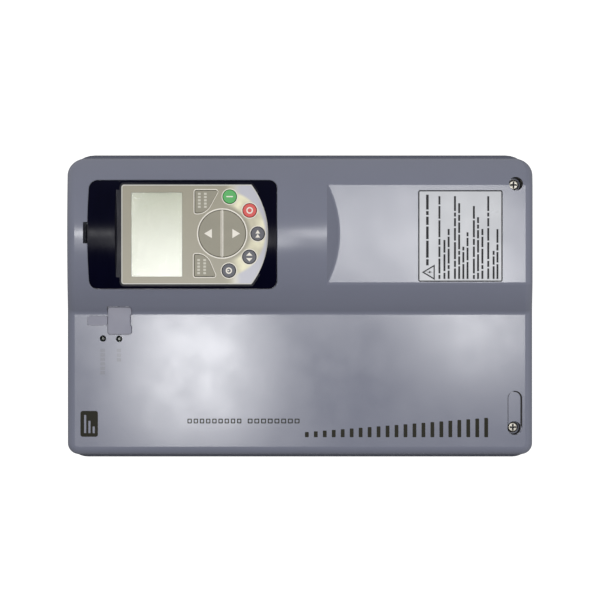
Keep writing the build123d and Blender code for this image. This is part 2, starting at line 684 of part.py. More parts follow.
def fan_rotor(x):
    """A hub with blades leaning across the air stream."""
    hub = Pos(0, 0, 13.5) * Cylinder(13.5, 18)
    hub = fillet(hub.edges().group_by(Axis.Z)[-1], 1.5)
    blade = Pos(20, 0, 0) * Rot(38, 0, 0) * Box(14, 1.6, 19)
    ring = Cylinder(27.4, 40) - Cylinder(12.5, 40)
    blade = blade & ring
    rotor = hub
    for index in range(FAN_BLADES):
        rotor += Pos(0, 0, 13.5) * Rot(0, 0, index * 360 / FAN_BLADES) * blade
    rotor -= Pos(0, 0, 11.5) * Cylinder(FAN_SHAFT_RADIUS + 0.05, 16)
    return Pos(x, FAN_Y, FAN_LOW_Z) * rotor


def fan_screws():
    screws = []
    for x, y in fan_screw_places():
        screws.append(screw((x, y, TRAY_Z), (0, 0, -1), 3.4, 2.0, 1.9, 18))
    return group(screws)


# ---- Power electronics ----
def power_part(x, z, height, corner=0.0):
    """A component that stands on the power board."""
    return raised(rectangle(x, z, corner), POWER_BOARD_Y - 0.02, POWER_BOARD_Y - height)


def module(x, z):
    """A power module on the heatsink, with contact pins up to the power board."""
    rear_y = HOUSING_REAR_Y - 0.02
    body = raised(rectangle(x, z, 2), rear_y, -91)
    body = chamfer(body.faces().sort_by(Axis.Y)[0].edges(), 0.8)
    pin_z = (z[0] + 5, z[1] - 5)
    count = int((x[1] - x[0] - 8) // 8)
    for index in range(count + 1):
        for pin in pin_z:
            body += post(x[0] + 4 + index * 8, pin, 0.8, -90, -96.2)
    return body


def power_module():
    return module((-50, 54), (-74, -22))


def power_board():
    rear_y = POWER_BOARD_Y + BOARD_THICKNESS
    board = raised(rectangle((-POWER_BOARD_X, POWER_BOARD_X), POWER_BOARD_Z, 3), rear_y, POWER_BOARD_Y)
    for x, z in POWER_STANDOFFS:
        board -= post(x, z, 1.7, rear_y + 1, POWER_BOARD_Y - 1)
    return board


def standoffs():
    """Hexagonal pillars, tapped right through, that carry the power board."""
    bars = []
    board_rear_y = POWER_BOARD_Y + BOARD_THICKNESS
    for x, z in POWER_STANDOFFS:
        hexagon = Pos(x, z) * RegularPolygon(3.8, 6) - disc(x, z, 1.65)
        bars.append(raised(hexagon, HOUSING_REAR_Y - 0.02, board_rear_y))
    return group(bars)


def board_screws():
    return group([screw((x, POWER_BOARD_Y, z), (0, -1, 0), 3, 2, 1.5, 12) for x, z in POWER_STANDOFFS])


def dc_link_capacitors():
    """Upright cans, each with the crossed relief grooves of its vent."""
    cans = []
    front_y = POWER_BOARD_Y - CAPACITOR_HEIGHT
    vent = Rectangle(20, 0.8) + Rectangle(0.8, 20)
    for x in CAPACITOR_XS:
        for z in CAPACITOR_ZS:
            can = post(x, z, CAPACITOR_RADIUS, POWER_BOARD_Y - 0.02, front_y)
            can = fillet(can.faces().sort_by(Axis.Y)[0].edges(), 1.5)
            cans.append(can - raised(Pos(x, z) * vent, front_y + 0.4, front_y - 1))
    return group(cans)


def wound_core(x, z, y, width, height, leg):
    """A three-legged laminated core, seen from the front as two windows in a plate."""
    centre = Pos(x, z)
    window_width = (width / 2 - leg) / 2 + leg / 8
    window_x = leg / 2 + window_width / 2
    plate = Rectangle(width, height)
    for side in (-1, 1):
        plate -= Pos(side * window_x, 0) * Rectangle(window_width, height - leg)
    return raised(centre * plate, y[0], y[1])


def winding(x, z, y, leg, thickness, length):
    """A coil round the middle leg of a core."""
    depth = y[0] - y[1]
    outer = RectangleRounded(leg + 2 * thickness, depth + 2 * thickness, thickness * 0.8)
    coil = outer - Rectangle(leg + 0.6, depth + 0.6)
    middle_y = (y[0] + y[1]) / 2
    return extrude(Plane.XY.offset(z - length / 2) * Pos(x, middle_y) * coil, length)


def dc_choke_core():
    core = wound_core(-40, 98, CHOKE_Y, 72, 54, 16)
    for x in (-72, -8):
        core += block((x - 4, x + 4), (CHOKE_Y[0], HOUSING_REAR_Y - 0.02), (77, 119))
    return core


def dc_choke_coil():
    return winding(-40, 98, CHOKE_Y, 16, 10, 36)


def transformer_core():
    return wound_core(48, 38, TRANSFORMER_Y, 36, 32, 9)


def transformer_winding():
    coil = winding(48, 38, TRANSFORMER_Y, 9, 5, 21.5)
    for x in (42, 54):
        coil += block((x - 2, x + 2), (POWER_BOARD_Y - 0.02, -101.5), (30, 46))
    return coil


def relay_block():
    relays = []
    for x in (28, 49, 70):
        relay = power_part((x - 8, x + 8), (-18, 10), 22, 1)
        relays.append(chamfer(relay.faces().sort_by(Axis.Y)[0].edges(), 0.6))
    return group(relays)


def current_sensors():
    """Square sensor rings, each with a hole for the output conductor."""
    sensors = []
    for x in (-14, 16, 46):
        body = power_part((x - 11, x + 11), (-84, -70), 24, 1.5)
        sensors.append(body - upright(x, POWER_BOARD_Y - 13, 5.5, -90, -60))
    return group(sensors)


def power_terminal_block():
    """A row of screw terminals with wire funnels below and screw wells in front."""
    x_range = (TERMINAL_XS[0] - TERMINAL_PITCH / 2, TERMINAL_XS[-1] + TERMINAL_PITCH / 2)
    body = power_part(x_range, TERMINAL_Z, TERMINAL_HEIGHT)
    front_y = POWER_BOARD_Y - TERMINAL_HEIGHT
    low_z = TERMINAL_Z[0]
    funnel_y = (POWER_BOARD_Y - 4, POWER_BOARD_Y - 14)
    for x in TERMINAL_XS:
        body -= block((x - 4.5, x + 4.5), funnel_y, (low_z - 1, low_z + 12))
        body -= post(x, TERMINAL_SCREW_Z, 4, funnel_y[1] - 0.5, front_y - 1)
        body -= post(x, TERMINAL_SCREW_Z, 2.1, POWER_BOARD_Y - 9, front_y - 1)
    for x in TERMINAL_XS[1:]:
        edge = x - TERMINAL_PITCH / 2
        body -= block((edge - 0.6, edge + 0.6), (front_y + 6, front_y - 1), (low_z - 1, low_z + 9))
    return body


def terminal_screws():
    seat_y = POWER_BOARD_Y - 14.6
    places = [(x, seat_y, TERMINAL_SCREW_Z) for x in TERMINAL_XS]
    return group([screw(place, (0, -1, 0), 3.6, 2.6, 1.9, 5) for place in places])


def earth_bar():
    rear_y = HOUSING_REAR_Y - HOUSING_WALL - 0.02
    bar = raised(rectangle((-42, 42), (EARTH_Z - 6, EARTH_Z + 6), 2), rear_y, rear_y - 6)
    for x in EARTH_XS:
        bar -= post(x, EARTH_Z, 2.5, rear_y - 0.5, rear_y - 8)
    return bar


def earth_screws():
    seat_y = HOUSING_REAR_Y - HOUSING_WALL - 6.1
    return group([screw((x, seat_y, EARTH_Z), (0, -1, 0), 4.2, 3, 2.4, 5) for x in EARTH_XS])


# ---- Control electronics ----
def control_part(x, z, height, corner=0.0):
    """A component that stands on the control board."""
    return raised(rectangle(x, z, corner), CONTROL_BOARD_Y - 0.02, CONTROL_BOARD_Y - height)


def control_rack():
    """A tray that carries the control board, with side lugs that rest in the housing."""
    rack = raised(rectangle((-82, 82), (-64, 136), 4), -169, -185)
    rack -= raised(rectangle((-80, 80), (-62, 134), 3), -171.5, -186)
    rear_y = CONTROL_BOARD_Y + BOARD_THICKNESS + 0.02
    for x in (-72, 72):
        for z in (-54, 126):
            rack += post(x, z, 4, -171, rear_y)
    for side in (-1, 1):
        for z in (-50, 112):
            lug_x = sorted((side * 81, side * 90.4))
            rack += block(lug_x, (-172, -160), (z - 7, z + 7))
    vents = [Pos(x, -170, z) * Box(40, 6, 5) for x in (-45, 45) for z in range(-30, 110, 14)]
    return rack - group(vents)


def control_board():
    rear_y = CONTROL_BOARD_Y + BOARD_THICKNESS
    x_range = (-CONTROL_BOARD_X, CONTROL_BOARD_X)
    return raised(rectangle(x_range, CONTROL_BOARD_Z, 2), rear_y, CONTROL_BOARD_Y)


def control_terminals():
    """A row of small plug-in terminals along the board's lower edge."""
    first_x = -70.0
    pitch = 5.0
    poles = 24
    body = control_part((first_x, first_x + poles * pitch), (-58, -46), 11)
    for index in range(poles):
        x = first_x + (index + 0.5) * pitch
        body -= post(x, -50, 1.6, CONTROL_BOARD_Y - 7, CONTROL_BOARD_Y - 12)
        body -= block((x - 1.6, x + 1.6), (CONTROL_BOARD_Y - 2, CONTROL_BOARD_Y - 6), (-59, -54))
    return body


def control_chips():
    chips = [
        control_part((-40, -16), (20, 44), 2.2),
        control_part((-62, -50), (24, 42), 2.0),
        control_part((-36, -22), (-6, 4), 2.2),
        control_part((0, 12), (-20, -8), 2.4),
        control_part((-66, -52), (70, 84), 2.2),
    ]
    return group(chips)


def accessory_connectors():
    """Two-row sockets for plug-in option cards."""
    sockets = []
    for z in (-30, 62, 92):
        socket = control_part((-68, -30), (z - 3, z + 3), 9)
        for index in range(14):
            x = -65.6 + index * 2.54
            for dz in (-1.27, 1.27):
                hole = rectangle((x - 0.5, x + 0.5), (z + dz - 0.5, z + dz + 0.5))
                socket -= raised(hole, CONTROL_BOARD_Y - 4, CONTROL_BOARD_Y - 10)
        sockets.append(socket)
    return group(sockets)


def memory_module():
    body = control_part((24, 52), (-36, -16), 9, 1.5)
    grip = raised(rectangle((29, 47), (-28, -24), 1), CONTROL_BOARD_Y - 8, CONTROL_BOARD_Y - 11)
    return body + grip


def board_link_header():
    """The upright pin header that joins the power board to the control board."""
    header = power_part((66, 80), (20, 50), 84)
    return header & block((66, 80), (POWER_BOARD_Y, -168.8), (20, 50))


def usb_socket():
    front_y = -201.0
    body = control_part((USB_X - 6, USB_X + 6), (USB_Z - 5.5, USB_Z + 5.5), CONTROL_BOARD_Y - front_y)
    mouth = rectangle((USB_X - 4.4, USB_X + 4.4), (USB_Z - 4.2, USB_Z + 4.2))
    return body - raised(mouth, front_y + 9, front_y - 1)


def keypad_socket():
    body = control_part((ARCH_X - 18, ARCH_X + 18), (62, 78), CONTROL_BOARD_Y + 199, 1)
    return body - raised(rectangle((ARCH_X - 15, ARCH_X + 15), (64.2, 75.8)), -192.5, -200)


def status_leds():
    bodies = []
    for x, z in LAMPS:
        led = post(x, z, 1.5, CONTROL_BOARD_Y - 0.02, CONTROL_BOARD_Y - 4)
        bodies.append(fillet(led.faces().sort_by(Axis.Y)[0].edges(), 1.2))
    return group(bodies)


def light_pipes():
    """Clear rods that carry the light of the two lamps to the cover."""
    pipes = []
    for x, z in LAMPS:
        rod = post(x, z, LAMP_ROD_RADIUS, CONTROL_BOARD_Y - 5, FLAT_Y + 0.6)
        foot = post(x, z, 3, CONTROL_BOARD_Y - 0.02, CONTROL_BOARD_Y - 6)
        pipes.append(rod + foot - post(x, z, 1.8, CONTROL_BOARD_Y, CONTROL_BOARD_Y - 4.4))
    return group(pipes)


# ---- Captive screws of the cover ----
def cover_screw(place, seat_y):
    length = SCREW_TIP_Y - seat_y
    seat = (place[0], seat_y - 0.05, place[1])
    return screw(seat, (0, -1, 0), SCREW_HEAD_RADIUS, 2.6, 2.0, length)


NODES = {
    "front_cover": front_cover,
    "usb_cap": usb_cap,
    "usb_cap_strap": usb_cap_strap,
    "keypad_front_shell": keypad_front_shell,
    "keypad_back_shell": keypad_back_shell,
    "keypad_overlay": keypad_overlay,
    "display_window": display_window,
    "display_module": display_module,
    "keypad_board": keypad_board,
    "keypad_plug": keypad_plug,
    "keypad_latch": keypad_latch,
    "main_housing": main_housing,
    "cable_plate": cable_plate,
    "cable_grommets": cable_grommets,
    "duct_shell": duct_shell,
    "heatsink": heatsink,
    "mounting_brackets": mounting_brackets,
    "bracket_screws": bracket_screws,
    "fan_tray": fan_tray,
    "fan_frames": fan_frames,
    "fan_screws": fan_screws,
    "power_module": power_module,
    "power_board": power_board,
    "standoffs": standoffs,
    "board_screws": board_screws,
    "dc_link_capacitors": dc_link_capacitors,
    "dc_choke_core": dc_choke_core,
    "dc_choke_coil": dc_choke_coil,
    "transformer_core": transformer_core,
    "transformer_winding": transformer_winding,
    "relay_block": relay_block,
    "current_sensors": current_sensors,
    "power_terminal_block": power_terminal_block,
    "terminal_screws": terminal_screws,
    "earth_bar": earth_bar,
    "earth_screws": earth_screws,
    "control_rack": control_rack,
    "control_board": control_board,
    "control_terminals": control_terminals,
    "control_chips": control_chips,
    "accessory_connectors": accessory_connectors,
    "memory_module": memory_module,
    "board_link_header": board_link_header,
    "usb_socket": usb_socket,
    "keypad_socket": keypad_socket,
    "status_leds": status_leds,
    "light_pipes": light_pipes,
}

for node, make in NODES.items():
    save(node, make())
for node, plan in key_plans().items():
    save(node, key(plan))
for side, x in (("left", -FAN_X), ("right", FAN_X)):
    save(f"fan_rotor_{side}", fan_rotor(x))
save("cover_screw_right", cover_screw(SCREW_RIGHT, SCREW_RIGHT_SEAT_Y))
save("cover_screw_left", cover_screw(SCREW_LEFT, SCREW_LEFT_SEAT_Y))
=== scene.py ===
import bpy
import math
from mathutils import Matrix, Vector


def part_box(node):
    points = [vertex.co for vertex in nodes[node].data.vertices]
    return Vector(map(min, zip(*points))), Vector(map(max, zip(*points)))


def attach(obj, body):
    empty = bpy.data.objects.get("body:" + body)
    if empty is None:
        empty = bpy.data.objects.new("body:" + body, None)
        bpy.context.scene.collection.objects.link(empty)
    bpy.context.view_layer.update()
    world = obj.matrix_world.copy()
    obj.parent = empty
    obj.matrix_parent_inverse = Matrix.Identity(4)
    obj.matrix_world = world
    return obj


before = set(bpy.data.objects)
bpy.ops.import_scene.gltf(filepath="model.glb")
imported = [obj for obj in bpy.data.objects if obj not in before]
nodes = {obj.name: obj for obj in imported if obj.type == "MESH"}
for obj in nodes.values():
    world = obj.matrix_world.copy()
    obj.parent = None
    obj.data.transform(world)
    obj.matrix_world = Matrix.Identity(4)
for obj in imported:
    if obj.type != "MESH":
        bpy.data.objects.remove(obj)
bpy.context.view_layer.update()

# A wall-mounted variable frequency drive. The frame is in metres: +Z up, +X right, front facing -Y.
MM = 0.001


# ---- Places, worked out from the frame ----
def millimetres(node):
    """A CAD node's box in millimetres: (x, y, z), each as (low, high)."""
    low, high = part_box(node)
    return [(low[axis] / MM, high[axis] / MM) for axis in range(3)]


def middle(span):
    return (span[0] + span[1]) / 2


_, CAP_Y, _ = millimetres("usb_cap")
OVERLAY_X, OVERLAY_Y, OVERLAY_Z = millimetres("keypad_overlay")
WINDOW_X, _, WINDOW_Z = millimetres("display_window")
UP_X, UP_Y, UP_Z = millimetres("key_up")
_, _, DOWN_Z = millimetres("key_down")
_, BOARD_Y, _ = millimetres("control_board")
SOCKET_X, SOCKET_Y, SOCKET_Z = millimetres("usb_socket")
FLAT_Y = CAP_Y[0] + 0.6            # the flat part of the cover
POCKET_Y = -219.6                  # the floor of the pocket across the arch
ARROW_X = middle(UP_X)
ARROW_Z = middle((UP_Z[0], DOWN_Z[1]))
ARROW_RADIUS = (UP_X[1] - UP_X[0]) / 2
KEY_FACE_Y = UP_Y[0]
FILM_Y = OVERLAY_Y[0]
FILM_CORNER = 1.6                  # radius of the film's upper corners
FILM_SIDE_END_Z = 29.0             # where the film's straight sides end
GROOVE_X = (-71.0, -51.2)          # the part of the groove beside the left screw that gets painted shade
GROOVE_Y = (FLAT_Y + 0.05, FLAT_Y + 1.7)
GROOVE_Z = (-135.2, -130.2)
COVER_SCREWS = ("cover_screw_left", "cover_screw_right")
HOLE_REACH = 4.4                   # radius that takes in the wall of a screw hole
RECESS_REACH = 2.6                 # how deep the driver recess of a cover screw goes
COVER_CORNERS = (11.5, 16.0, 16.0, 11.5)    # its corner radii, anticlockwise from the lower left
LIP_REACH = 0.8                    # how far the housing's lip shows past the cover
LIP_WIDTH = 2.2                    # how far the lip reaches in behind it
SIDE_REACH = 6.0                   # how far in from its outline the cover's drafted sides reach


# ---- Materials ----
COVER_ROUGHNESS = 0.20
COVER_COLOUR = (0.180, 0.190, 0.245)
KHAKI = (0.235, 0.213, 0.143)      # the keypad film's main field
YELLOW = (0.80, 0.76, 0.52)        # the sweep by the round keys
SILVER = (0.41, 0.41, 0.47)        # the film's lower corners
CELL_DARK = (0.34, 0.36, 0.24)     # the display, from its darker corner
CELL_PAINTED_PALE = (0.78, 0.79, 0.70)     # to its paler one; the change between them is painted light
# A painted glow: the display cell gives off a little light of its own.
CELL_PAINTED_GLOW = 0.20


class Surface:
    """A node material, built by short calls. Its patterns follow the piece's own coordinates."""

    def __init__(self, name, colour, roughness, metallic=0.0):
        self.material = bpy.data.materials.new(name)
        self.material.use_nodes = True
        self.tree = self.material.node_tree
        self.shader = self.tree.nodes["Principled BSDF"]
        self.shader.inputs["Base Color"].default_value = (*colour, 1)
        self.shader.inputs["Roughness"].default_value = roughness
        self.shader.inputs["Metallic"].default_value = metallic
        self.coordinates = self.add("ShaderNodeTexCoord").outputs["Object"]
        self.normal = None

    def add(self, kind, **settings):
        node = self.tree.nodes.new(kind)
        for name, value in settings.items():
            setattr(node, name, value)
        return node

    def link(self, source, target):
        self.tree.links.new(source, target)

    def set(self, socket, value):
        self.shader.inputs[socket].default_value = value

    def place(self, scale):
        """The piece's coordinates, stretched by a scale for each axis."""
        mapping = self.add("ShaderNodeMapping")
        mapping.inputs["Scale"].default_value = scale
        self.link(self.coordinates, mapping.inputs["Vector"])
        return mapping.outputs["Vector"]

    def noise(self, scale, detail=3.0, stretch=(1, 1, 1), roughness=0.5):
        node = self.add("ShaderNodeTexNoise")
        self.link(self.place(stretch), node.inputs["Vector"])
        node.inputs["Scale"].default_value = scale
        node.inputs["Detail"].default_value = detail
        node.inputs["Roughness"].default_value = roughness
        return node.outputs["Fac"]

    def cells(self, scale, feature="F1", stretch=(1, 1, 1)):
        node = self.add("ShaderNodeTexVoronoi", feature=feature)
        self.link(self.place(stretch), node.inputs["Vector"])
        node.inputs["Scale"].default_value = scale
        return node

    def waves(self, scale, direction, distortion=0.0):
        node = self.add("ShaderNodeTexWave", bands_direction=direction)
        self.link(self.coordinates, node.inputs["Vector"])
        node.inputs["Scale"].default_value = scale
        node.inputs["Distortion"].default_value = distortion
        node.inputs["Detail"].default_value = 2.0
        return node.outputs["Fac"]

    def axis(self, name):
        split = self.add("ShaderNodeSeparateXYZ")
        self.link(self.coordinates, split.inputs[0])
        return split.outputs[name]

    def distance(self, point):
        node = self.add("ShaderNodeVectorMath", operation="DISTANCE")
        self.link(self.coordinates, node.inputs[0])
        node.inputs[1].default_value = point
        return node.outputs["Value"]

    def map(self, value, low, high, to_low=0.0, to_high=1.0, smooth=False):
        kind = "SMOOTHSTEP" if smooth else "LINEAR"
        node = self.add("ShaderNodeMapRange", interpolation_type=kind)
        self.link(value, node.inputs["Value"])
        limits = {"From Min": low, "From Max": high, "To Min": to_low, "To Max": to_high}
        for socket, number in limits.items():
            node.inputs[socket].default_value = number
        return node.outputs["Result"]

    def math(self, operation, first, second):
        node = self.add("ShaderNodeMath", operation=operation)
        for index, value in enumerate((first, second)):
            if isinstance(value, (int, float)):
                node.inputs[index].default_value = value
            else:
                self.link(value, node.inputs[index])
        return node.outputs["Value"]

    def mix(self, factor, first, second):
        """A colour between two others, each a colour or another node's output."""
        node = self.add("ShaderNodeMix", data_type="RGBA")
        self.link(factor, node.inputs["Factor"])
        for socket, value in ((node.inputs[6], first), (node.inputs[7], second)):
            if isinstance(value, tuple):
                socket.default_value = (*value, 1)
            else:
                self.link(value, socket)
        return node.outputs[2]

    def colour(self, output):
        self.link(output, self.shader.inputs["Base Color"])

    def roughness(self, output):
        self.link(output, self.shader.inputs["Roughness"])

    def bump(self, height, depth_mm, strength=1.0):
        """Adds relief of a real depth; several calls add up."""
        node = self.add("ShaderNodeBump")
        node.inputs["Strength"].default_value = strength
        node.inputs["Distance"].default_value = depth_mm * MM
        self.link(height, node.inputs["Height"])
        if self.normal is not None:
            self.link(self.normal, node.inputs["Normal"])
        self.normal = node.outputs["Normal"]
        self.link(self.normal, self.shader.inputs["Normal"])


def shade(colour, factor):
    return tuple(channel * factor for channel in colour)


def moulded(name, colour, roughness, grain_mm=0.5, depth_mm=0.02, mottle=0.06, coat=0.0):
    """Injection-moulded plastic: fine spark-eroded grain, faint mottling and uneven gloss."""
    surface = Surface(name, colour, roughness)
    cloud = surface.noise(28, 4)
    surface.colour(surface.mix(cloud, shade(colour, 1 - mottle), shade(colour, 1 + mottle)))
    haze = surface.noise(60, 5)
    surface.roughness(surface.map(haze, 0.3, 0.7, roughness * 0.88, roughness * 1.14))
    grain = surface.noise(1 / (grain_mm * MM), 2)
    surface.bump(grain, depth_mm)
    if coat:
        surface.set("Coat Weight", coat)
        surface.set("Coat Roughness", 0.12)
    return surface


def cover_paint(name, colour):
    """The cover's satin plastic, with soft scuffs from handling."""
    surface = moulded(name, colour, COVER_ROUGHNESS, grain_mm=0.45, depth_mm=0.006, mottle=0.03)
    scuffs = surface.noise(9, 6, stretch=(6, 1, 1.5), roughness=0.65)
    surface.bump(scuffs, 0.02, 0.2)
    return surface.material


def cover_side(name, colour):
    """The cover's outer sides, which are matt."""
    surface = moulded(name, colour, 0.6, grain_mm=0.6, depth_mm=0.02, mottle=0.04)
    surface.set("Specular IOR Level", 0.0)
    return surface.material


def metal(name, colour, roughness, streaks=(1, 1, 1), scale=220.0, depth_mm=0.01):
    """Bare metal with fine streaks along one axis."""
    surface = Surface(name, colour, roughness, metallic=1.0)
    lines = surface.noise(scale, 4, stretch=streaks)
    surface.colour(surface.mix(lines, shade(colour, 0.82), shade(colour, 1.08)))
    surface.roughness(surface.map(lines, 0.25, 0.75, roughness * 0.75, roughness * 1.3))
    surface.bump(lines, depth_mm)
    return surface


def galvanised(name):
    """Zinc-coated sheet with its crystal spangle."""
    base = (0.56, 0.58, 0.60)
    surface = Surface(name, base, 0.38, metallic=1.0)
    spangle = surface.cells(230)
    tone = surface.map(spangle.outputs["Color"], 0.0, 1.0, 0.0, 1.0)
    surface.colour(surface.mix(tone, shade(base, 0.72), shade(base, 1.12)))
    surface.roughness(surface.map(tone, 0.0, 1.0, 0.28, 0.5))
    surface.bump(surface.noise(500, 3), 0.01)
    return surface.material


def circuit_board(name, mask, copper):
    """Solder mask over traces that run along both axes, with plated holes."""
    surface = Surface(name, mask, 0.28)
    lanes_x = surface.waves(170, "X")
    lanes_z = surface.waves(150, "Z")
    areas = surface.map(surface.cells(90, stretch=(1, 0.01, 1.4)).outputs["Color"], 0.45, 0.5)
    lanes = surface.math("MULTIPLY", areas, lanes_x)
    other = surface.math("MULTIPLY", surface.math("SUBTRACT", 1.0, areas), lanes_z)
    traces = surface.map(surface.math("ADD", lanes, other), 0.62, 0.7)
    colour = surface.mix(traces, mask, copper)
    holes = surface.map(surface.cells(260, stretch=(1, 0.01, 1)).outputs["Distance"], 0.10, 0.13)
    surface.colour(surface.mix(holes, (0.62, 0.60, 0.52), colour))
    surface.bump(traces, 0.03)
    return surface.material


def ribbed(name, colour, roughness, direction, line_mm, depth_mm, metallic=0.0):
    """Wound wire or stacked laminations: fine lines across one axis, a few millimetres apart."""
    surface = Surface(name, colour, roughness, metallic)
    lines = surface.waves(math.pi / (10 * line_mm * MM), direction)
    surface.colour(surface.mix(lines, shade(colour, 0.45), shade(colour, 1.25)))
    surface.bump(lines, depth_mm)
    return surface.material


def clear(name, tint, roughness, transmission=1.0):
    surface = Surface(name, tint, roughness)
    surface.set("Transmission Weight", transmission)
    surface.set("IOR", 1.49)
    haze = surface.noise(250, 3)
    surface.roughness(surface.map(haze, 0.3, 0.7, roughness * 0.8, roughness * 1.2))
    surface.bump(surface.noise(700, 2), 0.003)
    return surface.material


def black_gloss(name, colour, roughness):
    """The keypad's shiny dark shell, finely swirled by wiping."""
    surface = Surface(name, colour, roughness)
    surface.set("Specular IOR Level", 0.07)
    swirl = surface.noise(40, 5, stretch=(1, 1, 4))
    surface.colour(surface.mix(swirl, shade(colour, 0.7), shade(colour, 1.4)))
    surface.roughness(surface.map(swirl, 0.3, 0.7, roughness * 0.8, roughness * 1.3))
    surface.bump(surface.noise(900, 2), 0.003)
    return surface.material


def overlay_film(name):
    """The keypad's printed film: a khaki field, a pale yellow sweep by the round keys and a silver edge."""
    surface = Surface(name, KHAKI, 0.33)
    radius = surface.distance((ARROW_X * MM, FILM_Y * MM, ARROW_Z * MM))
    height = surface.axis("Z")
    field = surface.mix(surface.noise(60, 3), shade(KHAKI, 0.9), shade(KHAKI, 1.12))
    low_half = surface.map(height, (ARROW_Z - 0.5) * MM, (ARROW_Z - 11) * MM, smooth=True)
    near = surface.map(radius, (ARROW_RADIUS + 1.4) * MM, (ARROW_RADIUS + 4.5) * MM, smooth=True)
    patches = surface.map(surface.noise(85, 2), 0.36, 0.62, 0.3, 1.0)
    warm = surface.mix(patches, shade(KHAKI, 1.35), YELLOW)
    field = surface.mix(surface.math("MULTIPLY", near, low_half), field, warm)
    rim = surface.map(radius, (ARROW_RADIUS + 10.6) * MM, (ARROW_RADIUS + 12.8) * MM, smooth=True)
    lower = surface.map(height, (ARROW_Z - 3.5) * MM, (ARROW_Z - 12) * MM, smooth=True)
    surface.colour(surface.mix(surface.math("MULTIPLY", rim, lower), field, SILVER))
    surface.bump(surface.noise(1500, 2), 0.006)
    return surface.material


def display_cell(name):
    """The liquid crystal cell: a pale reflector under a faint dot grid, with painted light that grows paler
    towards one corner, and a painted glow.
    """
    surface = Surface(name, CELL_DARK, 0.42)
    dots_x = surface.waves(330, "X")
    dots_z = surface.waves(330, "Z")
    grid = surface.map(surface.math("MULTIPLY", dots_x, dots_z), 0.0, 0.25, 0.955, 1.0)
    across = surface.map(surface.axis("X"), WINDOW_X[1] * MM, WINDOW_X[0] * MM, 0.0, 0.62)
    down = surface.map(surface.axis("Z"), WINDOW_Z[1] * MM, WINDOW_Z[0] * MM, 0.0, 0.38)
    # Painted light: the cell grows paler towards one corner.
    painted_light_ramp = surface.map(surface.math("ADD", across, down), 0.12, 0.92, smooth=True)
    base = surface.mix(painted_light_ramp, CELL_DARK, CELL_PAINTED_PALE)
    surface.colour(surface.mix(grid, shade(CELL_DARK, 0.6), base))
    surface.bump(surface.noise(40, 2), 0.02)
    # Painted glow: the cell gives off light in the colour of its painted gradient.
    surface.link(base, surface.shader.inputs["Emission Color"])
    surface.set("Emission Strength", CELL_PAINTED_GLOW)
    return surface.material


def key_surface(name, colour, roughness=0.42, gloss=0.5):
    surface = Surface(name, colour, roughness)
    surface.set("Specular IOR Level", gloss)
    cloud = surface.noise(120, 3)
    surface.colour(surface.mix(cloud, shade(colour, 0.90), shade(colour, 1.10)))
    surface.bump(surface.noise(1400, 2), 0.01)
    return surface.material


def raised_print(name, colour):
    """The cover's own plastic, a little darker, for its embossed captions."""
    return moulded(name, colour, COVER_ROUGHNESS, grain_mm=0.3, depth_mm=0.01, mottle=0.08).material


